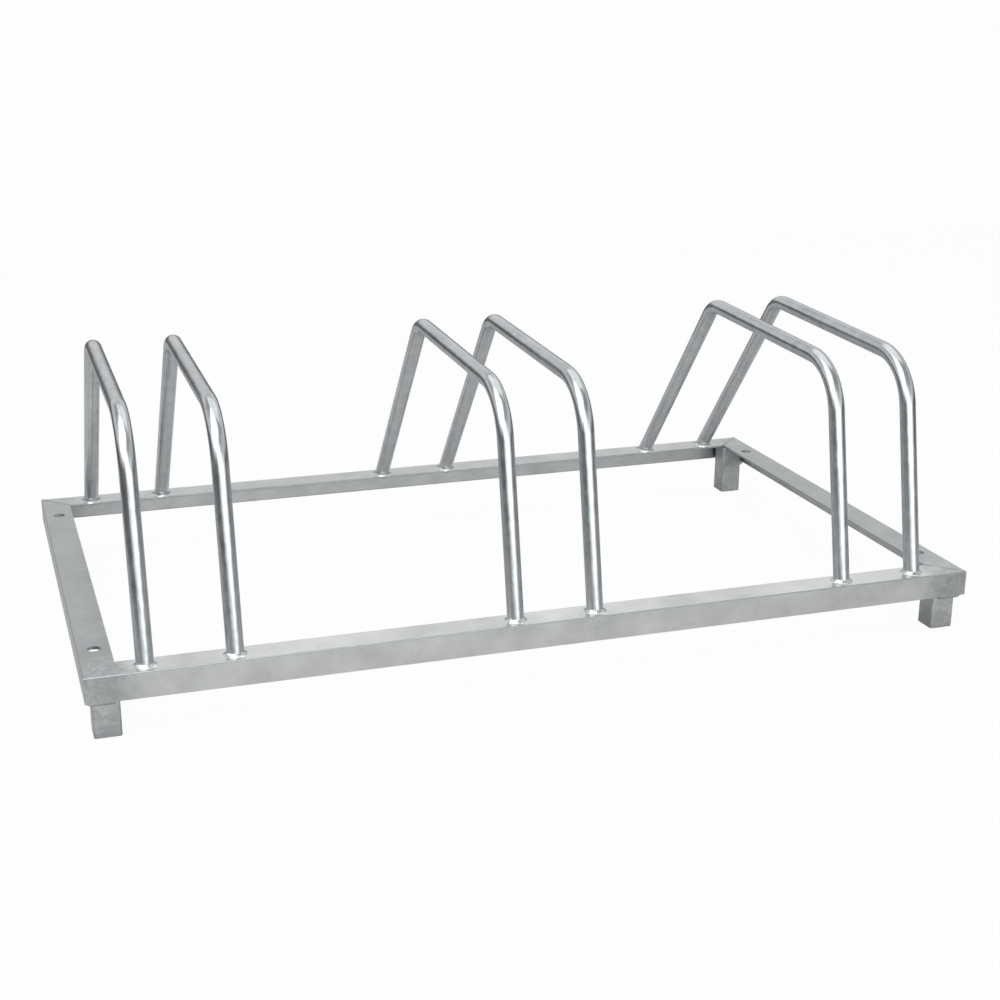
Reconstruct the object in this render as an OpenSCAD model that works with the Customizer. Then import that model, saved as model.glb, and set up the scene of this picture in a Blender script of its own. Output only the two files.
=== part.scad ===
// Floor standing bicycle rack with three wheel places.
// Six bent tube hoops stand in pairs on a mitred frame of steel angle, and the
// frame rests on four posts of square tube. Millimetres, +Z up. The origin is on
// the ground at the middle of the frame, with the front rail at -Y.

/* [Frame] */
// Depth of the frame from front to rear, over the outer faces
frame_depth = 530; // [440:5:700]
// Height of the frame's top face above the ground
frame_height = 62; // [55:1:110]
// Width of the angle bar's top leaf
top_leaf = 30; // [30:1:45]
// Height of the angle bar's upright leaf
upright_leaf = 25; // [18:1:45]
// Thickness of each leaf
leaf_thickness = 3; // [2:0.5:4]
// Radius of the root between the two leaves
root_radius = 3; // [1:0.5:4]
// Radius of the rounded toe of each leaf
toe_radius = 1.5; // [0.5:0.25:1.75]
// Radius of the outer edge where the leaves meet
edge_radius = 0.8; // [0.2:0.1:1.5]
// Distance from the end of the frame to the middle of the nearest hoop
end_margin = 55; // [48:1:120]

/* [Wheel places] */
// Distance from one wheel place to the next
place_pitch = 345; // [280:5:450]
// Distance between the middles of the two hoops of a place
hoop_spacing = 80; // [50:1:120]

/* [Hoops] */
// Outer diameter of the hoop tube
tube_diameter = 16; // [12:0.5:16.5]
// Wall of the hoop tube
tube_wall = 1.5; // [1:0.25:2.5]
// Height of the front bend above the frame's top face, on the tube's middle line
hoop_height = 211; // [170:1:290]
// Climb of the top run towards the rear, in degrees
top_slope = 1.9; // [0:0.1:8]
// Lean of the front leg towards the rear, in degrees
front_lean = 11.2; // [0:0.1:20]
// Lean of the rear leg towards the front, in degrees
rear_lean = 39.3; // [15:0.1:40]
// Radius of the front bend on the tube's middle line
front_bend = 57; // [30:1:80]
// Radius of the rear bend on the tube's middle line
rear_bend = 33; // [24:1:60]
// Distance from the front face to the tube's middle at the frame's top face
front_foot = 15; // [14:0.5:19]
// Length of tube that shows below the top leaf
tube_tail = 2; // [1:0.5:3]
// Gap round the tube in its hole through the leaf
hole_gap = 0.3; // [0.1:0.1:0.5]
// Gap between the tail of the rear leg and the upright leaf
tail_gap = 0.5; // [0.2:0.1:1]

/* [Posts] */
// Outer width of the square post
post_width = 25; // [20:1:30]
// Wall of the post
post_wall = 2; // [1.5:0.5:3]
// Outer corner radius of the post
post_corner = 2.5; // [2:0.5:5]
// Gap between the post and the upright leaf of a side rail
post_side_gap = 3; // [1:0.5:6]
// Gap between the post and the upright leaf of the front or rear rail
post_end_gap = 5; // [1:0.5:8]

/* [Bolt holes] */
// Diameter of the holes for the ground bolts
bolt_hole = 12; // [6:0.5:13]
// Distance from the outer face of a side rail to the middle of a bolt hole
bolt_gauge = 15.5; // [14:0.5:20]
// Distance from the front or rear face of the frame to a bolt hole
bolt_inset = 65; // [52:1:150]

/* [Welds] */
// Leg of the weld round each hoop foot
hoop_weld = 3; // [2:0.5:4]
// Width of the ground seam along each mitre
seam_width = 5; // [3:0.5:8]
// Height of the ground seam above the leaf
seam_height = 0.5; // [0.2:0.1:1]
// How far the weld at a post reaches past the gap that it fills
post_weld = 2.75; // [2:0.25:3]

/* [Hidden] */
$fn = 96;

// The rack has three places of two hoops each.
places = 3;

frame_length = 2 * end_margin + (places - 1) * place_pitch + hoop_spacing;
half_length = frame_length / 2;
half_depth = frame_depth / 2;
leaf_underside = frame_height - leaf_thickness;
frame_bottom = frame_height - upright_leaf;
// The root stays clear of the post that stands beside it.
root = min(root_radius, post_side_gap, post_end_gap);

// Tube radius, and half the length of the oval that each leg cuts in a leaf
tube_radius = tube_diameter / 2;
front_oval = tube_radius / cos(front_lean);
rear_oval = tube_radius / cos(rear_lean);

// The tube ends below the leaf, and the rear tail clears the upright leaf.
tube_end = leaf_underside - tube_tail;
rear_foot = leaf_thickness + tail_gap + rear_oval
    + (leaf_thickness + tube_tail) * tan(rear_lean);
front_y = front_foot - half_depth;
rear_y = half_depth - rear_foot;

// A hoop's middle line is a front leg, a bend, a top run, a bend and a rear leg.
// Its corners, before they are rounded, are front_y + front_reach and top_run apart.
front_turn = 90 - front_lean - top_slope;
rear_turn = 90 - rear_lean + top_slope;
front_reach = hoop_height * tan(front_lean);
rear_reach = hoop_height * tan(rear_lean);
top_run = (rear_y - front_y - front_reach - rear_reach)
    / (1 + tan(top_slope) * tan(rear_lean));
rear_height = hoop_height + top_run * tan(top_slope);
front_tangent = front_bend * tan(front_turn / 2);
rear_tangent = rear_bend * tan(rear_turn / 2);
// Each leg runs on below the frame's top face by this much, to be cut at tube_end.
leg_tail = 2 * tube_diameter;
front_straight = leg_tail + hoop_height / cos(front_lean) - front_tangent;
top_straight = top_run / cos(top_slope) - front_tangent - rear_tangent;
rear_straight = leg_tail + rear_height / cos(rear_lean) - rear_tangent;
// The bends are a hair thicker than the straight stretches, which lap into them.
bend_swell = 0.1;
bend_lap = 1;
// The post's bore reaches past both ends by this much, and its inner corners stay round.
bore_margin = 1;
least_corner = 0.5;

steel = [0.68, 0.69, 0.70];
bright_steel = [0.78, 0.79, 0.80];
post_steel = [0.60, 0.62, 0.63];
weld_steel = [0.72, 0.72, 0.72];

// Middle of the hoop along the frame, for hoops 1 to 6
function hoop_x(number) =
    (floor((number - 1) / 2) - (places - 1) / 2) * place_pitch
    + ((number - 1) % 2 - 0.5) * hoop_spacing;

// A bent rod that starts upwards at the origin and turns towards +Y. What
// follows it is placed at its end, and sees that end as its own origin.
module bend(radius, turn, diameter) {
    translate([0, radius, 0]) {
        rotate([90, 0, -90])
            rotate_extrude(angle = turn)
                translate([radius, 0])
                    circle(d = diameter);
        rotate([-turn, 0, 0])
            translate([0, -radius, 0])
                children();
    }
}

// Where the lower end of the front leg starts, pointing up along the leg
module at_front_foot() {
    translate([0, front_y, frame_height])
        rotate([-front_lean, 0, 0])
            translate([0, 0, -leg_tail])
                children();
}

module at_rear_foot() {
    translate([0, rear_y, frame_height])
        rotate([rear_lean, 0, 0])
            translate([0, 0, -leg_tail])
                children();
}

// A solid rod along the whole middle line of a hoop, with fewer sides than the
// rest, because its bends are round two ways
module hoop_rod(diameter) {
    $fn = 60;
    at_front_foot() {
        cylinder(d = diameter, h = front_straight + bend_lap);
        translate([0, 0, front_straight])
            bend(front_bend, front_turn, diameter + bend_swell) {
                lapped_rod(diameter, top_straight);
                translate([0, 0, top_straight])
                    bend(rear_bend, rear_turn, diameter + bend_swell)
                        lapped_rod(diameter, rear_straight);
            }
    }
}

module lapped_rod(diameter, length) {
    translate([0, 0, -bend_lap])
        cylinder(d = diameter, h = length + 2 * bend_lap);
}

// A block that holds everything below a height
module below(height) {
    translate([-frame_length, -frame_depth, height - 2 * frame_height])
        cube([2 * frame_length, 2 * frame_depth, 2 * frame_height]);
}

module hoop(number) {
    color(bright_steel)
        translate([hoop_x(number), 0, 0])
            difference() {
                hoop_rod(tube_diameter);
                hoop_rod(tube_diameter - 2 * tube_wall);
                below(tube_end);
            }
}

// The lower end of a leg as a solid rod, which cuts the leaf and the welds
module front_leg(diameter) {
    at_front_foot()
        cylinder(d = diameter, h = 2 * leg_tail);
}

module rear_leg(diameter) {
    at_rear_foot()
        cylinder(d = diameter, h = 2 * leg_tail);
}

// Section of the angle bar. The outer edge is at [0, 0], the top leaf runs
// along +X and the upright leaf hangs down.
module angle_section() {
    difference() {
        translate([0, -upright_leaf])
            square([top_leaf, upright_leaf]);
        difference() {
            translate([leaf_thickness, -upright_leaf - leaf_thickness])
                square([top_leaf, upright_leaf]);
            translate([leaf_thickness, -leaf_thickness - root])
                difference() {
                    square(root);
                    translate([root, 0])
                        circle(r = root);
                }
        }
        corner_cut([top_leaf, -leaf_thickness], toe_radius, [-1, 1]);
        corner_cut([leaf_thickness, -upright_leaf], toe_radius, [-1, 1]);
        corner_cut([0, 0], edge_radius, [1, -1]);
    }
}

// What rounding takes off a square corner, whose body lies towards side
module corner_cut(corner, radius, side) {
    translate(corner)
        difference() {
            square(2 * radius, center = true);
            translate(side * radius)
                circle(r = radius);
            translate([side[0] * 2 * radius, 0])
                square([2 * radius, 4 * radius], center = true);
            translate([0, side[1] * 2 * radius])
                square([4 * radius, 2 * radius], center = true);
        }
}

// A mitred bar of angle along +X, with its outer edge on the X axis
module angle_bar(length) {
    intersection() {
        rotate([90, 0, 90])
            linear_extrude(height = length)
                angle_section();
        translate([0, 0, -upright_leaf])
            linear_extrude(height = upright_leaf)
                polygon([
                    [0, 0],
                    [length, 0],
                    [length - top_leaf, top_leaf],
                    [top_leaf, top_leaf]
                ]);
    }
}

// A pair of holes for ground bolts, on the middle line of a side rail
module bolt_holes(x) {
    for (side = [-1, 1])
        translate([x, side * (half_depth - bolt_inset), tube_end])
            cylinder(d = bolt_hole, h = frame_height);
}

module front_rail() {
    color(steel)
        difference() {
            translate([-half_length, -half_depth, frame_height])
                angle_bar(frame_length);
            for (number = [1:2 * places])
                translate([hoop_x(number), 0, 0])
                    difference() {
                        front_leg(tube_diameter + 2 * hole_gap);
                        below(tube_end);
                    }
        }
}

module rear_rail() {
    color(steel)
        difference() {
            translate([half_length, half_depth, frame_height])
                rotate([0, 0, 180])
                    angle_bar(frame_length);
            for (number = [1:2 * places])
                translate([hoop_x(number), 0, 0])
                    difference() {
                        rear_leg(tube_diameter + 2 * hole_gap);
                        below(tube_end);
                    }
        }
}

module left_rail() {
    color(steel)
        difference() {
            translate([-half_length, half_depth, frame_height])
                rotate([0, 0, -90])
                    angle_bar(frame_depth);
            bolt_holes(bolt_gauge - half_length);
        }
}

module right_rail() {
    color(steel)
        difference() {
            translate([half_length, -half_depth, frame_height])
                rotate([0, 0, 90])
                    angle_bar(frame_depth);
            bolt_holes(half_length - bolt_gauge);
        }
}

module rounded_square(width, radius) {
    square([width, width - 2 * radius], center = true);
    square([width - 2 * radius, width], center = true);
    for (x = [-1, 1], y = [-1, 1])
        translate([x, y] * (width / 2 - radius))
            circle(r = radius);
}

// Moves what is made at the frame's front left corner, with its inside towards
// +X and +Y, to the corner at side [x, y].
module at_corner(side) {
    mirror([side[0] > 0 ? 1 : 0, 0, 0])
        mirror([0, side[1] > 0 ? 1 : 0, 0])
            translate([-half_length, -half_depth, 0])
                children();
}

post_x = leaf_thickness + post_side_gap;
post_y = leaf_thickness + post_end_gap;

module post_block(width, radius, height) {
    translate([post_x + post_width / 2, post_y + post_width / 2, 0])
        linear_extrude(height = height)
            rounded_square(width, radius);
}

module post(side) {
    color(post_steel)
        at_corner(side)
            difference() {
                post_block(post_width, post_corner, leaf_underside);
                translate([0, 0, -bore_margin])
                    post_block(post_width - 2 * post_wall,
                        max(post_corner - post_wall, least_corner),
                        leaf_underside + 2 * bore_margin);
            }
}

// The seam along a mitre, ground down to a low round ridge
module seam_weld(side) {
    ridge = (seam_width * seam_width / 4 + seam_height * seam_height)
        / (2 * seam_height);
    color(weld_steel)
        at_corner(side)
            intersection() {
                translate([0, 0, frame_height + seam_height - ridge])
                    rotate([0, 0, 45])
                        rotate([0, 90, 0])
                            cylinder(r = ridge, h = 2 * top_leaf);
                translate([edge_radius, edge_radius, frame_height])
                    cube([top_leaf - edge_radius, top_leaf - edge_radius, seam_height]);
            }
}

// The weld that bridges the gaps between a post and the two upright leaves, at
// the lower edge of the leaves. Each bead is centred on its own gap.
module post_weld(side) {
    gap_middle_x = leaf_thickness + post_side_gap / 2;
    gap_middle_y = leaf_thickness + post_end_gap / 2;
    side_bead = post_side_gap / 2 + post_weld;
    end_bead = post_end_gap / 2 + post_weld;
    color(weld_steel)
        at_corner(side)
            difference() {
                union() {
                    translate([gap_middle_x - side_bead, gap_middle_y, frame_bottom])
                        rotate([0, 90, 0])
                            cylinder(r = end_bead, h = post_width);
                    translate([gap_middle_x, gap_middle_y - end_bead, frame_bottom])
                        rotate([-90, 0, 0])
                            cylinder(r = side_bead, h = post_width);
                }
                post_block(post_width, post_corner, leaf_underside);
                frame_corner();
            }
}

// The two bars that meet at the frame's front left corner, without their mitre
module frame_corner() {
    translate([0, 0, frame_height]) {
        rotate([90, 0, 90])
            linear_extrude(height = 3 * top_leaf)
                angle_section();
        mirror([-1, 1, 0])
            rotate([90, 0, 90])
                linear_extrude(height = 3 * top_leaf)
                    angle_section();
    }
}

// A round bead on the top leaf, along the oval that a leaning tube cuts in it
module oval_bead(y, oval) {
    translate([0, y, frame_height])
        scale([1, oval / tube_radius, 1])
            rotate_extrude()
                translate([tube_radius, 0])
                    circle(r = hoop_weld);
}

module hoop_front_weld(number) {
    color(weld_steel)
        translate([hoop_x(number), 0, 0])
            difference() {
                oval_bead(front_y, front_oval);
                front_leg(tube_diameter);
                below(frame_height);
            }
}

module hoop_rear_weld(number) {
    color(weld_steel)
        translate([hoop_x(number), 0, 0])
            difference() {
                oval_bead(rear_y, rear_oval);
                rear_leg(tube_diameter);
                below(frame_height);
            }
}

front_left = [-1, -1];
front_right = [1, -1];
rear_left = [-1, 1];
rear_right = [1, 1];

front_rail();
rear_rail();
left_rail();
right_rail();
hoop(1);  // hoop_1
hoop(2);  // hoop_2
hoop(3);  // hoop_3
hoop(4);  // hoop_4
hoop(5);  // hoop_5
hoop(6);  // hoop_6
post(front_left);  // post_front_left
post(front_right);  // post_front_right
post(rear_left);  // post_rear_left
post(rear_right);  // post_rear_right
seam_weld(front_left);  // seam_weld_front_left
seam_weld(front_right);  // seam_weld_front_right
seam_weld(rear_left);  // seam_weld_rear_left
seam_weld(rear_right);  // seam_weld_rear_right
post_weld(front_left);  // post_weld_front_left
post_weld(front_right);  // post_weld_front_right
post_weld(rear_left);  // post_weld_rear_left
post_weld(rear_right);  // post_weld_rear_right
hoop_front_weld(1);  // hoop_1_front_weld
hoop_front_weld(2);  // hoop_2_front_weld
hoop_front_weld(3);  // hoop_3_front_weld
hoop_front_weld(4);  // hoop_4_front_weld
hoop_front_weld(5);  // hoop_5_front_weld
hoop_front_weld(6);  // hoop_6_front_weld
hoop_rear_weld(1);  // hoop_1_rear_weld
hoop_rear_weld(2);  // hoop_2_rear_weld
hoop_rear_weld(3);  // hoop_3_rear_weld
hoop_rear_weld(4);  // hoop_4_rear_weld
hoop_rear_weld(5);  // hoop_5_rear_weld
hoop_rear_weld(6);  // hoop_6_rear_weld
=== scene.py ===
import math

import bmesh
import bpy
from mathutils import Matrix, Vector


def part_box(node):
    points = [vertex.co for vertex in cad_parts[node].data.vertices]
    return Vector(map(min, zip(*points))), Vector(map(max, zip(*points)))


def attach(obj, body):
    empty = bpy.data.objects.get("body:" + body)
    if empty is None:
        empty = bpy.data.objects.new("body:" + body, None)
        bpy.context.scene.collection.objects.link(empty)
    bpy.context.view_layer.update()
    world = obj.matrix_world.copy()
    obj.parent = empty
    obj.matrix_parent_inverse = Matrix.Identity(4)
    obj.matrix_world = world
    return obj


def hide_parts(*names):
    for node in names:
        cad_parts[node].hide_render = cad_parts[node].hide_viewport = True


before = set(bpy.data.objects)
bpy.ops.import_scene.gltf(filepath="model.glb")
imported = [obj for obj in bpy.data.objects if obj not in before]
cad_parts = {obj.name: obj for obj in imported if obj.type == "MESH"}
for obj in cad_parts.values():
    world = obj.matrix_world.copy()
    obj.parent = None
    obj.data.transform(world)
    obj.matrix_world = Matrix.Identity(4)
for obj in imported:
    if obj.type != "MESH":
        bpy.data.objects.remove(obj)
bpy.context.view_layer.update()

MM = 0.001

# Sizes of the rack, repeated from the part's source
FRAME_TOP = 62 * MM
FRAME_BOTTOM = 37 * MM
HALF_LENGTH = 440 * MM
HALF_DEPTH = 265 * MM
LEAF_THICKNESS = 3 * MM
HOOPS = 6
TUBE_RADIUS = 8 * MM
TUBE_WALL = 1.5 * MM
TUBE_TAIL = 2 * MM
TAIL_GAP = 0.5 * MM
HOOP_HEIGHT = 211 * MM
TOP_SLOPE = math.radians(1.9)
FRONT_LEAN = math.radians(11.2)
REAR_LEAN = math.radians(39.3)
FRONT_BEND = 57 * MM
REAR_BEND = 33 * MM
FRONT_FOOT = 15 * MM
POST_WIDTH = 25 * MM
POST_SIDE_GAP = 3 * MM
POST_END_GAP = 5 * MM

# Where a hoop's tails end below the top leaves, and where its legs cross the tops of the leaves
TUBE_END = FRAME_TOP - LEAF_THICKNESS - TUBE_TAIL
REAR_FOOT = (LEAF_THICKNESS + TAIL_GAP + TUBE_RADIUS / math.cos(REAR_LEAN)
             + (LEAF_THICKNESS + TUBE_TAIL) * math.tan(REAR_LEAN))
FRONT_Y = FRONT_FOOT - HALF_DEPTH
REAR_Y = HALF_DEPTH - REAR_FOOT

# A hoop's mesh: how far apart its rings lie, how many sides they have, and how much each
# bend is flattened
STRAIGHT_STEP = 9 * MM
FRONT_BEND_STEP = 2 * MM
REAR_BEND_STEP = 1.5 * MM
FEWEST_STEPS = 4
TUBE_SIDES = 48
FRONT_FLATTENING = 0.03
REAR_FLATTENING = 0.06

# Welds: the leg of the fillet round a front and a rear foot, how deep its path is sunk into
# the leaf and the tube, and the radius of the bead at a post
FRONT_FILLET = 4.2 * MM
REAR_FILLET = 5 * MM
FILLET_SINK = 0.15 * MM
FILLET_POINTS = 60
POST_BEAD = 4.4 * MM

# Dark and light zinc, as sRGB
# The six bar tones below are painted light. The front, rear and side bars, and their tops and uprights,
# are lit and shaded copies of one zinc, standing in for the reflections their grain catches.
FRONT_TOP_PAINTED_LIGHT = ("#CDCFD0", "#E4E5E5")
FRONT_UPRIGHT_PAINTED_LIGHT = ("#C6C8C9", "#DDDFDF")
REAR_TOP_PAINTED_LIGHT = ("#B7BABC", "#CED0D1")
REAR_UPRIGHT_PAINTED_LIGHT = ("#BDC0C2", "#D4D6D7")
SIDE_TOP_PAINTED_LIGHT = ("#A3A7A8", "#B7BBBC")
SIDE_UPRIGHT_PAINTED_LIGHT = ("#B0B4B5", "#C6C9CA")
GROUND_CORNER = ("#A9ADAE", "#BEC2C3")
GROUND_SEAM = ("#9DA1A2", "#B2B6B7")
POST_SKIN = ("#ABAFB0", "#C1C4C5")
TUBE_SKIN = ("#A3A8AB", "#CFD3D5")
WELD_SKIN = ("#A5A9AA", "#DCDDDD")
# Painted shade: a darker colour on the frame's outer top edge, which dims that edge's highlight.
PAINTED_EDGE_SHADE = "#A4A8A9"

# The photograph's view: where its eye is, in metres, how it is turned, in radians, and its
# lens and sensor width, in millimetres
EYE = (-0.51557, -1.612, 0.64446)
HEADING = 0.31233
TILT = 0.32717
ROLL = 0.00126
LENS = 59.43
SENSOR_WIDTH = 36
SHIFT = (0.02037, 0.02628)
NEAREST = 0.05
FARTHEST = 200


def new_object(name, data):
    """A new object in the scene, at the origin."""
    thing = bpy.data.objects.new(name, data)
    bpy.context.scene.collection.objects.link(thing)
    return thing


def photo_camera():
    """The photograph's own view: eye, heading, tilt and roll, and its small shift."""
    flat = math.cos(TILT)
    ahead = Vector((math.sin(HEADING) * flat, math.cos(HEADING) * flat, -math.sin(TILT)))
    level = Vector((math.cos(HEADING), -math.sin(HEADING), 0))
    upright = level.cross(ahead)
    side = math.cos(ROLL) * level + math.sin(ROLL) * upright
    up = math.cos(ROLL) * upright - math.sin(ROLL) * level
    data = bpy.data.cameras.new("photo_camera")
    data.lens = LENS
    data.sensor_width = SENSOR_WIDTH
    data.shift_x, data.shift_y = SHIFT
    data.clip_start = NEAREST
    data.clip_end = FARTHEST
    camera = new_object("photo_camera", data)
    turn = Matrix((side, up, -ahead)).transposed()
    camera.matrix_world = Matrix.Translation(EYE) @ turn.to_4x4()
    bpy.context.scene.camera = camera


# Colours and nodes

def linear(code):
    """An sRGB hex colour as linear RGBA."""
    values = [int(code[i:i + 2], 16) / 255 for i in (1, 3, 5)]
    return [v / 12.92 if v <= 0.04045 else ((v + 0.055) / 1.055) ** 2.4 for v in values] + [1.0]


def tones(skin, low, high):
    """The stops of a colour ramp from a skin's dark zinc, at low, to its light zinc, at high."""
    dark, light = skin
    return [(low, linear(dark)), (high, linear(light))]


def brightness(level):
    """A white light of that brightness as RGBA, where 1 shows as white."""
    return (level, level, level, 1.0)


def connect(tree, node, inputs):
    """Fills a node's inputs, by name or in order. A value that is a socket is linked, and one
    that is a node is linked from its first output."""
    pairs = inputs.items() if isinstance(inputs, dict) else enumerate(inputs)
    for name, value in pairs:
        source = value.outputs[0] if isinstance(value, bpy.types.Node) else value
        if isinstance(source, bpy.types.NodeSocket):
            tree.links.new(source, node.inputs[name])
        else:
            node.inputs[name].default_value = source


def add(tree, kind, inputs=(), stops=(), **settings):
    """Adds a node. settings are its own properties, and stops are the (position, colour)
    stops of a colour ramp."""
    node = tree.nodes.new(kind)
    for name, value in settings.items():
        setattr(node, name, value)
    connect(tree, node, inputs)
    if stops:
        elements = node.color_ramp.elements
        while len(elements) < len(stops):
            elements.new(0.5)
        for element, (position, colour) in zip(elements, stops):
            element.position = position
            element.color = colour
    return node


def new_material(name):
    """A new material, its node tree and its Principled shader."""
    material = bpy.data.materials.new(name)
    material.use_nodes = True
    tree = material.node_tree
    return material, tree, tree.nodes["Principled BSDF"]


# Finishes

def from_outside(tree, place):
    """How far a place on the frame lies from the nearer end, and from the nearer long side."""
    apart = add(tree, "ShaderNodeSeparateXYZ", (place,)).outputs
    distances = []
    for axis, half in (("X", HALF_LENGTH), ("Y", HALF_DEPTH)):
        from_middle = add(tree, "ShaderNodeMath", (apart[axis],), operation="ABSOLUTE")
        distances.append(add(tree, "ShaderNodeMath", (half, from_middle), operation="SUBTRACT"))
    return distances


def ground_corner(tree, place):
    """1 at a mitred corner, where the weld was ground, falling to 0 along a wandering edge."""
    full_until, gone_at = 24 * MM, 54 * MM
    patch_size, wander = 22 * MM, 30 * MM
    from_end, from_side = from_outside(tree, place)
    away = add(tree, "ShaderNodeMath", (from_end, from_side), operation="MAXIMUM")
    patch = add(tree, "ShaderNodeTexNoise", {"Vector": place, "Scale": 1 / patch_size, "Detail": 2.0})
    centred = add(tree, "ShaderNodeMath", (patch, 0.5), operation="SUBTRACT")
    away = add(tree, "ShaderNodeMath", (centred, wander, away), operation="MULTIPLY_ADD")
    return add(tree, "ShaderNodeMapRange",
               {"Value": away, "From Min": full_until, "From Max": gone_at, "To Min": 1.0, "To Max": 0.0},
               interpolation_type="SMOOTHSTEP")


def shaded_top_edge(tree, place):
    """1 on the frame's outer top edge, where a darker colour paints shade over its highlight, falling to
    0 beside it.
    """
    full_until, gone_at = 0.9 * MM, 1.6 * MM
    from_end, from_side = from_outside(tree, place)
    height = add(tree, "ShaderNodeSeparateXYZ", (place,)).outputs["Z"]
    below = add(tree, "ShaderNodeMath", (FRAME_TOP, height), operation="SUBTRACT")
    inwards = add(tree, "ShaderNodeMath", (from_end, from_side), operation="MINIMUM")
    away = add(tree, "ShaderNodeMath", (below, inwards), operation="MAXIMUM")
    return add(tree, "ShaderNodeMapRange",
               {"Value": away, "From Min": full_until, "From Max": gone_at, "To Min": 1.0, "To Max": 0.0},
               interpolation_type="SMOOTHSTEP")


def galvanised_skin(name, top, upright, corner=GROUND_CORNER, *, roughness):
    """Hot dip galvanised bar and post: a satin zinc skin with faint crystals, cloudy from the bath, and
    smeared and greyer where the corner welds were ground. top, upright and corner are the dark and light
    tones on top of the frame, below it and at the ground corners. The top and upright tones are painted
    light, lit and shaded copies of one zinc; the corner tones are the real greyer zinc of the ground
    welds. The outer top edge gets a darker colour, painted shade that dims its highlight."""
    cloud_size, crystal_size, crystal_share = 38 * MM, 7 * MM, 0.12
    smear_size, smear_twist, smear_level, smear_strength = 9 * MM, 1.4, 0.55, 1.6
    upright_until, top_from = FRAME_TOP - 2.5 * MM, FRAME_TOP - 0.5 * MM
    cloud_roughness, edge_roughness = 0.16, 0.1
    # Real grain is finer than this. It is drawn as coarse as it needs to show.
    grain_size, grain_relief, smear_relief, relief_depth = 2.2 * MM, 0.25, 0.9, 0.4 * MM

    material, tree, skin = new_material(name)
    place = add(tree, "ShaderNodeTexCoord").outputs["Object"]
    ground = ground_corner(tree, place)
    # edge marks the outer top edge, which gets painted shade and more roughness.
    edge = shaded_top_edge(tree, place)
    cloud = add(tree, "ShaderNodeTexNoise", {"Vector": place, "Scale": 1 / cloud_size, "Detail": 3.0})
    crystals = add(tree, "ShaderNodeTexVoronoi", {"Vector": place, "Scale": 1 / crystal_size})
    crystal = add(tree, "ShaderNodeSeparateColor", (crystals.outputs["Color"],))
    clouded = add(tree, "ShaderNodeMath", (cloud, 1 - crystal_share), operation="MULTIPLY")
    spangled = add(tree, "ShaderNodeMath", (crystal, crystal_share), operation="MULTIPLY")
    tone = add(tree, "ShaderNodeMath", (clouded, spangled), operation="ADD")

    smear = add(tree, "ShaderNodeTexNoise",
                {"Vector": place, "Scale": 1 / smear_size, "Detail": 2.0, "Distortion": smear_twist})
    proud = add(tree, "ShaderNodeMath", (smear, smear_level), operation="SUBTRACT")
    strength = add(tree, "ShaderNodeMath", (ground, smear_strength), operation="MULTIPLY")
    smeared = add(tree, "ShaderNodeMath", (proud, strength), operation="MULTIPLY")
    tone = add(tree, "ShaderNodeMath", (tone, smeared), operation="ADD")

    # The top and upright tones are painted light: lit and shaded copies of one zinc.
    painted_top_tone, painted_upright_tone, corner_skin = (
        add(tree, "ShaderNodeValToRGB", (tone,), stops=tones(zinc, low=0.25, high=0.75))
        for zinc in (top, upright, corner))
    height = add(tree, "ShaderNodeSeparateXYZ", (place,)).outputs["Z"]
    painted_top_share = add(tree, "ShaderNodeMapRange",
                 {"Value": height, "From Min": upright_until, "From Max": top_from})
    colour = painted_upright_tone
    # Mixed in turn: the painted light of top over upright, the real zinc of the ground corners, and the
    # painted shade of the outer top edge.
    for share, laid_over in ((painted_top_share, painted_top_tone), (ground, corner_skin), (edge, linear(PAINTED_EDGE_SHADE))):
        # Inputs 6 and 7 and output 2 are the Mix node's two colours and their mixture.
        mixed = add(tree, "ShaderNodeMix", {0: share, 6: colour, 7: laid_over}, data_type="RGBA")
        colour = mixed.outputs[2]

    smoothest = roughness - cloud_roughness / 2
    rough = add(tree, "ShaderNodeMath", (cloud, cloud_roughness, smoothest), operation="MULTIPLY_ADD")
    rough = add(tree, "ShaderNodeMath", (edge, edge_roughness, rough), operation="MULTIPLY_ADD")
    grain = add(tree, "ShaderNodeTexNoise", {"Vector": place, "Scale": 1 / grain_size, "Detail": 2.0})
    fine = add(tree, "ShaderNodeMath", (grain, grain_relief), operation="MULTIPLY")
    coarse = add(tree, "ShaderNodeMath", (smeared, smear_relief), operation="MULTIPLY")
    relief = add(tree, "ShaderNodeMath", (fine, coarse), operation="ADD")
    bump = add(tree, "ShaderNodeBump", {"Height": relief, "Strength": 0.35, "Distance": relief_depth})
    connect(tree, skin, {"Base Color": colour, "Roughness": rough, "Normal": bump, "Metallic": 1.0})
    return material


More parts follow.
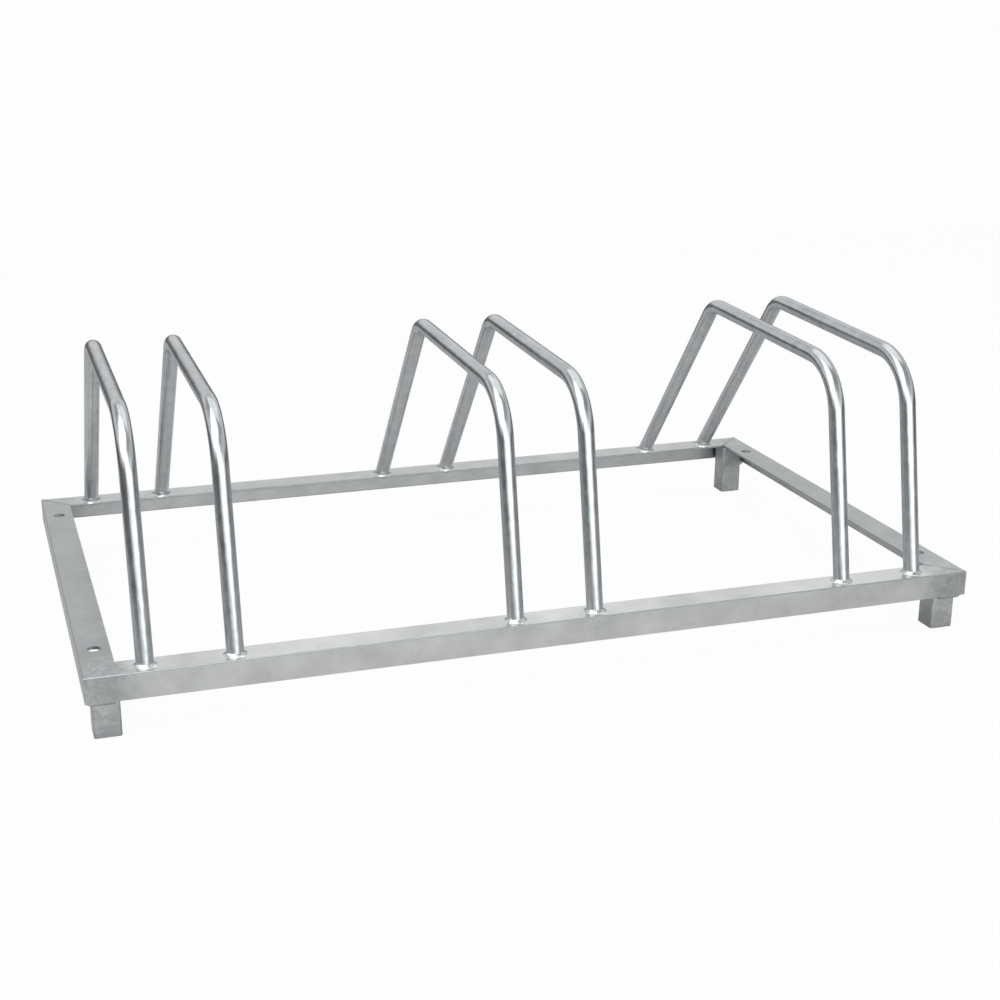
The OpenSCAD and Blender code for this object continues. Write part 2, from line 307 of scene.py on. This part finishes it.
def galvanised_tube(name, zinc):
    """Zinc on drawn tube: smoother than on the bars, with faint streaks along the tube, and a slightly
    uneven skin that breaks up what it reflects. Its colour grows lighter towards the rear leg: a painted
    reflection of the pale floor below it."""
    streak_width, streak_squeeze = 3 * MM, 0.12
    cloud_size, cloud_share = 14 * MM, 0.6
    painted_reflection_from, painted_reflection_until, painted_reflection_by = 400 * MM, 560 * MM, 0.3
    smoothest, cloud_roughness = 0.18, 0.1
    ripple_width, ripple_squeeze, ripple_depth = 7 * MM, 0.4, 0.5 * MM

    material, tree, skin = new_material(name)
    place = add(tree, "ShaderNodeTexCoord").outputs["Object"]
    straight = add(tree, "ShaderNodeAttribute", attribute_name="laid_straight").outputs["Vector"]
    drawn = add(tree, "ShaderNodeMapping", {"Vector": straight, "Scale": (streak_squeeze, 1.0, 1.0)})
    streak = add(tree, "ShaderNodeTexNoise", {"Vector": drawn, "Scale": 1 / streak_width, "Detail": 2.0})
    cloud = add(tree, "ShaderNodeTexNoise", {"Vector": place, "Scale": 1 / cloud_size, "Detail": 3.0})
    streaked = add(tree, "ShaderNodeMath", (streak, 1 - cloud_share), operation="MULTIPLY")
    clouded = add(tree, "ShaderNodeMath", (cloud, cloud_share), operation="MULTIPLY")
    tone = add(tree, "ShaderNodeMath", (streaked, clouded), operation="ADD")
    along = add(tree, "ShaderNodeSeparateXYZ", (straight,)).outputs["X"]
    # Painted reflection: the colour lightens along the tube towards the rear leg, standing in for the
    # pale floor that leg mirrors.
    lighter = add(tree, "ShaderNodeMapRange",
                  {"Value": along, "From Min": painted_reflection_from, "From Max": painted_reflection_until,
                   "To Min": 0.0, "To Max": painted_reflection_by}, interpolation_type="SMOOTHSTEP")
    tone = add(tree, "ShaderNodeMath", (tone, lighter), operation="ADD")
    colour = add(tree, "ShaderNodeValToRGB", (tone,), stops=tones(zinc, low=0.3, high=0.9))
    rough = add(tree, "ShaderNodeMath", (cloud, cloud_roughness, smoothest), operation="MULTIPLY_ADD")
    drawn = add(tree, "ShaderNodeMapping", {"Vector": straight, "Scale": (ripple_squeeze, 1.0, 1.0)})
    ripple = add(tree, "ShaderNodeTexNoise", {"Vector": drawn, "Scale": 1 / ripple_width, "Detail": 1.0})
    bump = add(tree, "ShaderNodeBump", {"Height": ripple, "Strength": 0.5, "Distance": ripple_depth})
    connect(tree, skin, {"Base Color": colour, "Roughness": rough, "Normal": bump, "Metallic": 1.0})
    return material


def galvanised_weld(name, zinc):
    """Zinc over a weld: bright and a little coarse, with darker pits."""
    pit_size, pit_depth, roughness = 3 * MM, 0.3 * MM, 0.28
    material, tree, skin = new_material(name)
    place = add(tree, "ShaderNodeTexCoord").outputs["Object"]
    pits = add(tree, "ShaderNodeTexNoise", {"Vector": place, "Scale": 1 / pit_size, "Detail": 3.0})
    colour = add(tree, "ShaderNodeValToRGB", (pits,), stops=tones(zinc, low=0.3, high=0.6))
    bump = add(tree, "ShaderNodeBump", {"Height": pits, "Strength": 0.5, "Distance": pit_depth})
    connect(tree, skin, {"Base Color": colour, "Roughness": roughness, "Normal": bump, "Metallic": 1.0})
    return material


# Hoops

def hoop_stations():
    """The hoop's middle line from the front tail to the rear tail, as stations of
    (y, z, heading from +Z towards +Y, distance along, flattening)."""
    front_turn = math.pi / 2 - FRONT_LEAN - TOP_SLOPE
    rear_turn = math.pi / 2 - REAR_LEAN + TOP_SLOPE
    top_run = ((REAR_Y - FRONT_Y - HOOP_HEIGHT * (math.tan(FRONT_LEAN) + math.tan(REAR_LEAN)))
               / (1 + math.tan(TOP_SLOPE) * math.tan(REAR_LEAN)))
    rear_height = HOOP_HEIGHT + top_run * math.tan(TOP_SLOPE)
    front_tangent = FRONT_BEND * math.tan(front_turn / 2)
    rear_tangent = REAR_BEND * math.tan(rear_turn / 2)
    tail = FRAME_TOP - TUBE_END
    front_leg = (tail + HOOP_HEIGHT) / math.cos(FRONT_LEAN) - front_tangent
    top_straight = top_run / math.cos(TOP_SLOPE) - front_tangent - rear_tangent
    rear_leg = (tail + rear_height) / math.cos(REAR_LEAN) - rear_tangent
    stretches = [
        (0, front_leg, STRAIGHT_STEP, 0),
        (front_turn, FRONT_BEND * front_turn, FRONT_BEND_STEP, FRONT_FLATTENING),
        (0, top_straight, STRAIGHT_STEP, 0),
        (rear_turn, REAR_BEND * rear_turn, REAR_BEND_STEP, REAR_FLATTENING),
        (0, rear_leg, STRAIGHT_STEP, 0),
    ]
    y, z = FRONT_Y - tail * math.tan(FRONT_LEAN), TUBE_END
    heading, along = FRONT_LEAN, 0.0
    stations = [(y, z, heading, along, 0.0)]
    for turn, length, step, flattening in stretches:
        count = max(FEWEST_STEPS, round(length / step))
        for i in range(count):
            middle = heading + turn / count / 2
            chord = length / count if not turn else 2 * (length / turn) * math.sin(turn / count / 2)
            y += chord * math.sin(middle)
            z += chord * math.cos(middle)
            heading += turn / count
            along += length / count
            flattened = flattening * math.sin(math.pi * (i + 1) / count)
            stations.append((y, z, heading, along, flattened))
    return stations


def tube_wall(mesh, straight, stations, x, radius):
    """One wall of a bent tube, cut level at both tails. Returns its rings of vertices. What a
    bend loses in height it gains sideways to a third."""
    rings = []
    for number, (y, z, heading, along, flattening) in enumerate(stations):
        tangent = Vector((0, math.sin(heading), math.cos(heading)))
        outward = Vector((0, -math.cos(heading), math.sin(heading)))
        ring = []
        for side in range(TUBE_SIDES):
            angle = 2 * math.pi * side / TUBE_SIDES
            point = Vector((x, y, z))
            point += outward * radius * math.cos(angle) * (1 - flattening)
            point.x += radius * math.sin(angle) * (1 + flattening / 3)
            if number in (0, len(stations) - 1):
                point += tangent * ((TUBE_END - point.z) / tangent.z)
            vertex = mesh.verts.new(point)
            vertex[straight] = (along, radius * math.cos(angle), radius * math.sin(angle))
            ring.append(vertex)
        rings.append(ring)
    return rings


def skin_rings(mesh, rings, inside_out=False):
    """Joins each ring of vertices to the next with a band of faces."""
    for first, second in zip(rings, rings[1:]):
        for i in range(len(first)):
            j = (i + 1) % len(first)
            face = [first[i], first[j], second[j], second[i]]
            mesh.faces.new(face[::-1] if inside_out else face)


def make_hoop(name, x, material):
    """A bent tube with its bore. laid_straight keeps where each vertex lay before the bending:
    the distance along the tube, and the place across it."""
    crease = math.radians(40)
    mesh = bmesh.new()
    straight = mesh.verts.layers.float_vector.new("laid_straight")
    stations = hoop_stations()
    outer = tube_wall(mesh, straight, stations, x, TUBE_RADIUS)
    inner = tube_wall(mesh, straight, stations, x, TUBE_RADIUS - TUBE_WALL)
    skin_rings(mesh, outer)
    skin_rings(mesh, inner, inside_out=True)
    skin_rings(mesh, [inner[0], outer[0]])
    skin_rings(mesh, [outer[-1], inner[-1]])
    bmesh.ops.recalc_face_normals(mesh, faces=mesh.faces)
    data = bpy.data.meshes.new(name)
    mesh.to_mesh(data)
    mesh.free()
    data.materials.append(material)
    data.shade_smooth()
    data.set_sharp_from_angle(angle=crease)
    return new_object(name, data)


# Welds

def weld_bead_tree():
    """Geometry Nodes that turn a path into a weld with the ripples of its passes: a round bead,
    or with Hollow at 1 the hollow fillet round a foot, which follows the lean of its tube."""
    step, sides, lump_size, lump_level = 0.5 * MM, 32, 4 * MM, 0.8
    tree = bpy.data.node_groups.new("weld_bead", "GeometryNodeTree")
    face = tree.interface
    face.new_socket("Path", in_out="INPUT", socket_type="NodeSocketGeometry")
    for name in ("Bead radius", "Hollow", "Lean", "Plate height", "Ripple pitch", "Ripple height",
                 "Unevenness", "Seed"):
        face.new_socket(name, in_out="INPUT", socket_type="NodeSocketFloat")
    face.new_socket("Finish", in_out="INPUT", socket_type="NodeSocketMaterial")
    face.new_socket("Bead", in_out="OUTPUT", socket_type="NodeSocketGeometry")
    given = add(tree, "NodeGroupInput").outputs

    path = add(tree, "GeometryNodeResampleCurve", {"Curve": given["Path"], "Length": step}, mode="LENGTH")
    marked = add(tree, "GeometryNodeCaptureAttribute", {"Geometry": path})
    marked.capture_items.new("FLOAT", "run")
    connect(tree, marked, {1: add(tree, "GeometryNodeSplineParameter").outputs["Length"]})
    run = marked.outputs[1]
    circle = add(tree, "GeometryNodeCurvePrimitiveCircle",
                 {"Resolution": sides, "Radius": given["Bead radius"]})
    place = add(tree, "GeometryNodeInputPosition")
    apart = add(tree, "ShaderNodeSeparateXYZ", (place,)).outputs

    def drawn_in(value):
        """Draws a profile's round flanks in to hollow ones, by Hollow's share."""
        share = add(tree, "ShaderNodeMath", (value, given["Bead radius"]), operation="DIVIDE")
        squared = add(tree, "ShaderNodeMath", (share, share), operation="MULTIPLY")
        cubed = add(tree, "ShaderNodeMath", (value, squared), operation="MULTIPLY")
        change = add(tree, "ShaderNodeMath", (cubed, value), operation="SUBTRACT")
        return add(tree, "ShaderNodeMath", (change, given["Hollow"], value), operation="MULTIPLY_ADD")

    hollow = add(tree, "ShaderNodeCombineXYZ", (drawn_in(apart["X"]), drawn_in(apart["Y"])))
    profile = add(tree, "GeometryNodeSetPosition", {"Geometry": circle, "Position": hollow})
    bead = add(tree, "GeometryNodeCurveToMesh",
               {"Curve": marked, "Profile Curve": profile, "Fill Caps": True})

    phase = add(tree, "ShaderNodeMath", (run, given["Ripple pitch"]), operation="DIVIDE")
    phase = add(tree, "ShaderNodeMath", (phase, math.pi), operation="MULTIPLY")
    wave = add(tree, "ShaderNodeMath", (phase,), operation="SINE")
    wave = add(tree, "ShaderNodeMath", (wave,), operation="ABSOLUTE")
    wave = add(tree, "ShaderNodeMath", (wave, 1.0), operation="SUBTRACT")
    ripple = add(tree, "ShaderNodeMath", (wave, given["Ripple height"]), operation="MULTIPLY")
    lumps = add(tree, "ShaderNodeTexNoise",
                {"Vector": place, "W": given["Seed"], "Scale": 1 / lump_size, "Detail": 1.0},
                noise_dimensions="4D")
    lumps = add(tree, "ShaderNodeMath", (lumps, lump_level), operation="SUBTRACT")
    uneven = add(tree, "ShaderNodeMath", (lumps, given["Unevenness"]), operation="MULTIPLY")
    push = add(tree, "ShaderNodeMath", (ripple, uneven), operation="ADD")
    pushed = add(tree, "ShaderNodeVectorMath",
                 {0: add(tree, "GeometryNodeInputNormal"), "Scale": push}, operation="SCALE")

    above = add(tree, "ShaderNodeMath", (apart["Z"], given["Plate height"]), operation="SUBTRACT")
    sway = add(tree, "ShaderNodeMath", (above, given["Lean"]), operation="MULTIPLY")
    sideways = add(tree, "ShaderNodeCombineXYZ", {"Y": sway})
    offset = add(tree, "ShaderNodeVectorMath", (pushed, sideways), operation="ADD")
    moved = add(tree, "GeometryNodeSetPosition", {"Geometry": bead, "Offset": offset})
    smooth = add(tree, "GeometryNodeSetShadeSmooth", (moved,))
    real = add(tree, "GeometryNodeRealizeInstances", (smooth,))
    dressed = add(tree, "GeometryNodeSetMaterial", {"Geometry": real, "Material": given["Finish"]})
    add(tree, "NodeGroupOutput", {"Bead": dressed})
    return tree


def weld_along(name, points, closed, tree, sizes):
    """Runs the weld bead tree on a path of points and keeps the result as a plain mesh."""
    curve = bpy.data.curves.new(name + "_path", "CURVE")
    curve.dimensions = "3D"
    spline = curve.splines.new("POLY")
    spline.points.add(len(points) - 1)
    for knot, point in zip(spline.points, points):
        knot.co = (*point, 1)
    spline.use_cyclic_u = closed
    carrier = new_object(name + "_path", curve)
    modifier = carrier.modifiers.new("weld", "NODES")
    modifier.node_group = tree
    sockets = {item.name: item.identifier for item in tree.interface.items_tree if item.in_out == "INPUT"}
    for key, value in sizes.items():
        modifier[sockets[key]] = value
    shaped = carrier.evaluated_get(bpy.context.evaluated_depsgraph_get())
    data = bpy.data.meshes.new_from_object(shaped)
    data.name = name
    bpy.data.objects.remove(carrier)
    bpy.data.curves.remove(curve)
    return new_object(name, data)


def foot_weld(name, x, y, lean, leg, seed, tree, finish):
    """The hollow fillet round the foot of a leg that leans towards +Y by lean. leg is how far
    it reaches over the leaf and up the tube."""
    across = TUBE_RADIUS - FILLET_SINK
    along = across / math.cos(lean)
    turns = [math.radians(360 / FILLET_POINTS * k) for k in range(FILLET_POINTS)]
    ring = [Vector((x + across * math.cos(a), y + along * math.sin(a), FRAME_TOP - FILLET_SINK))
            for a in turns]
    return weld_along(name, ring, True, tree, {
        "Bead radius": leg, "Hollow": 1.0, "Lean": math.tan(lean), "Plate height": FRAME_TOP,
        "Ripple pitch": 2.2 * MM, "Ripple height": 0.15 * MM, "Unevenness": 0.4 * MM,
        "Seed": seed, "Finish": finish})


def post_path(place):
    """The weld's path round the two outer sides of a post, midway in its gaps to the bars."""
    corner_radius, corner_step, corner_points = 3 * MM, 15, 7
    toward_x = 1 if place.endswith("left") else -1
    toward_y = 1 if place.startswith("front") else -1
    near_x, near_y = LEAF_THICKNESS + POST_SIDE_GAP / 2, LEAF_THICKNESS + POST_END_GAP / 2
    far_x = LEAF_THICKNESS + POST_SIDE_GAP + POST_WIDTH - POST_BEAD
    far_y = LEAF_THICKNESS + POST_END_GAP + POST_WIDTH - POST_BEAD
    turns = [math.radians(corner_step * k) for k in range(corner_points)]
    corner = [(near_x + corner_radius * (1 - math.cos(a)), near_y + corner_radius * (1 - math.sin(a)))
              for a in turns]
    path = [(near_x, far_y)] + corner + [(far_x, near_y)]
    return [Vector((toward_x * (x - HALF_LENGTH), toward_y * (y - HALF_DEPTH), FRAME_BOTTOM))
            for x, y in path]


def post_weld(place, tree, finish):
    """The bead that bridges the gaps between a post and the bars. Its seed comes from the
    length of the place's name."""
    return weld_along(f"post_bead_{place}", post_path(place), False, tree, {
        "Bead radius": POST_BEAD, "Hollow": 0.0, "Lean": 0.0, "Plate height": FRAME_TOP,
        "Ripple pitch": 2.6 * MM, "Ripple height": 0.2 * MM, "Unevenness": 0.6 * MM,
        "Seed": len(place) + 0.3, "Finish": finish})


# The rack

def dress(node, material):
    """Gives a CAD node a finish in place of its plain one."""
    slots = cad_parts[node].data.materials
    if len(slots):
        for i in range(len(slots)):
            slots[i] = material
    else:
        slots.append(material)


def shown_for(piece, node):
    """Puts a piece on the rack's one body, to be shown in place of a CAD node."""
    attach(piece, "root")
    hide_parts(node)


def middle(node):
    """The middle of a CAD node's box."""
    low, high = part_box(node)
    return (low + high) / 2


def dress_rails():
    """Finishes the four angle bars. They differ a little in roughness, and their tones differ as painted
    light: bars across and along the rack, and their tops and uprights, are lit and shaded copies of one
    zinc.
    """
    front = galvanised_skin("galvanised_angle_front", FRONT_TOP_PAINTED_LIGHT, FRONT_UPRIGHT_PAINTED_LIGHT, roughness=0.3)
    rear = galvanised_skin("galvanised_angle_rear", REAR_TOP_PAINTED_LIGHT, REAR_UPRIGHT_PAINTED_LIGHT, roughness=0.34)
    side = galvanised_skin("galvanised_angle_side", SIDE_TOP_PAINTED_LIGHT, SIDE_UPRIGHT_PAINTED_LIGHT, roughness=0.36)
    rails = (("front_rail", front), ("rear_rail", rear), ("left_rail", side), ("right_rail", side))
    for node, finish in rails:
        dress(node, finish)


def make_hoops(weld_tree):
    """The six bent tubes, each with the welds round its two feet."""
    tube = galvanised_tube("galvanised_drawn_tube", TUBE_SKIN)
    weld = galvanised_weld("galvanised_weld", WELD_SKIN)
    # Which foot, its place, its lean towards +Y, its fillet, and what sets the seed of its weld
    # apart from the other foot's
    feet = (("front", FRONT_Y, FRONT_LEAN, FRONT_FILLET, 0.0),
            ("rear", REAR_Y, -REAR_LEAN, REAR_FILLET, 0.5))
    for number in range(1, HOOPS + 1):
        node = f"hoop_{number}"
        x = middle(node).x
        shown_for(make_hoop(f"bent_tube_{number}", x, tube), node)
        for end, y, lean, leg, other in feet:
            name = f"weld_ring_{number}_{end}"
            piece = foot_weld(name, x, y, lean, leg, number + other, weld_tree, weld)
            shown_for(piece, f"hoop_{number}_{end}_weld")


def finish_corners(weld_tree):
    """The posts, the ground seams above them and the beads that hold them."""
    post = galvanised_skin("galvanised_post", POST_SKIN, POST_SKIN, corner=POST_SKIN, roughness=0.42)
    seam = galvanised_skin("galvanised_ground_seam", GROUND_CORNER, GROUND_CORNER, corner=GROUND_SEAM,
                           roughness=0.6)
    for place in ("front_left", "front_right", "rear_left", "rear_right"):
        dress(f"post_{place}", post)
        dress(f"seam_weld_{place}", seam)
        shown_for(post_weld(place, weld_tree, post), f"post_weld_{place}")


# Floor, world and lamps

def make_floor():
    """A plain pale floor. The eye sees it almost white, with the rack's shadow kept. It ends
    nearer on the left, where the tubes mirror the room beyond it."""
    left, right, front, back = -1.15, 3.5, -4.0, 2.2
    white_seen, white_mirrored = 0.97, 0.05
    data = bpy.data.meshes.new("floor")
    corners = [(left, front, 0), (right, front, 0), (right, back, 0), (left, back, 0)]
    data.from_pydata(corners, [], [(0, 1, 2, 3)])
    floor = new_object("floor", data)
    material, tree, paint = new_material("pale_floor")
    tree.nodes.remove(paint)
    ray = add(tree, "ShaderNodeLightPath").outputs
    direct = (ray["Is Camera Ray"], ray["Is Transmission Ray"])
    matt = add(tree, "ShaderNodeBsdfDiffuse", {"Color": linear("#AFAFAF")})
    white = add(tree, "ShaderNodeEmission", {"Color": linear("#FFFFFF"), "Strength": 1.0})
    seen = add(tree, "ShaderNodeMath", direct, operation="MAXIMUM")
    seen = add(tree, "ShaderNodeMath", (seen, white_seen), operation="MULTIPLY")
    mirrored = add(tree, "ShaderNodeMath", (ray["Is Glossy Ray"], white_mirrored), operation="MULTIPLY")
    share = add(tree, "ShaderNodeMath", (seen, mirrored), operation="MAXIMUM")
    mixed = add(tree, "ShaderNodeMixShader", (share, matt, white))
    connect(tree, tree.nodes["Material Output"], {"Surface": mixed})
    data.materials.append(material)


def make_world():
    """A soft studio, almost white to the eye: dim at the horizon and below it, with a bright
    band above that and a grey ceiling."""
    # How far a direction rises, from 0 at the horizon to 1 straight up, and the room's light there
    room_by_rise = ((0.0, 0.15), (0.11, 0.18), (0.24, 0.98), (0.5, 0.98), (0.64, 0.6), (1.0, 0.4))
    white_seen = 0.985
    world = bpy.data.worlds.new("studio")
    bpy.context.scene.world = world
    world.use_nodes = True
    tree = world.node_tree
    tree.nodes.clear()
    ray = add(tree, "ShaderNodeLightPath").outputs
    direct = (ray["Is Camera Ray"], ray["Is Transmission Ray"])
    direction = add(tree, "ShaderNodeTexCoord").outputs["Generated"]
    rise = add(tree, "ShaderNodeSeparateXYZ", (direction,)).outputs["Z"]
    room = add(tree, "ShaderNodeValToRGB", (rise,),
               stops=[(height, brightness(level)) for height, level in room_by_rise])
    studio = add(tree, "ShaderNodeBackground", {"Color": room, "Strength": 1.0})
    white = add(tree, "ShaderNodeBackground", {"Color": brightness(white_seen), "Strength": 1.0})
    share = add(tree, "ShaderNodeMath", direct, operation="MAXIMUM")
    mixed = add(tree, "ShaderNodeMixShader", (share, studio, white))
    add(tree, "ShaderNodeOutputWorld", {"Surface": mixed})


def area_lamp(name, place, target, width, height, glow):
    """A panel of light. glow is its brightness: 1 looks white where a mirror shows it."""
    watts_per_square_metre = 4
    data = bpy.data.lights.new(name, "AREA")
    data.shape = "RECTANGLE"
    data.size = width
    data.size_y = height
    data.energy = watts_per_square_metre * glow * width * height
    lamp = new_object(name, data)
    lamp.visible_camera = False
    place, target = Vector(place), Vector(target)
    turn = (target - place).to_track_quat("-Z", "Y").to_matrix().to_4x4()
    lamp.matrix_world = Matrix.Translation(place) @ turn


def make_lamps():
    """Windows in front of the rack and panels above it."""
    area_lamp("wide_window", (0.9, -3.4, 0.85), (0.9, 0, 0.85), 7.0, 1.7, glow=0.45)
    area_lamp("low_window", (0.9, -3.38, 0.4), (0.9, 0, 0.4), 4.2, 0.8, glow=0.6)
    area_lamp("low_window_middle", (0.9, -3.36, 0.4), (0.9, 0, 0.4), 2.0, 0.8, glow=1.3)
    area_lamp("high_window", (-0.8, -3.0, 1.5), (-0.8, 0, 1.5), 2.3, 2.0, glow=1.3)
    area_lamp("skylight", (-1.0, -0.85, 1.85), (0, 0, 0.1), 2.3, 2.6, glow=1.6)
    area_lamp("ceiling", (0.5, 0.8, 2.3), (0.5, 0.8, 0), 2.8, 2.2, glow=0.9)


photo_camera()
dress_rails()
weld_tree = weld_bead_tree()
make_hoops(weld_tree)
finish_corners(weld_tree)
make_floor()
make_world()
make_lamps()
bpy.context.scene.view_settings.view_transform = "Standard"
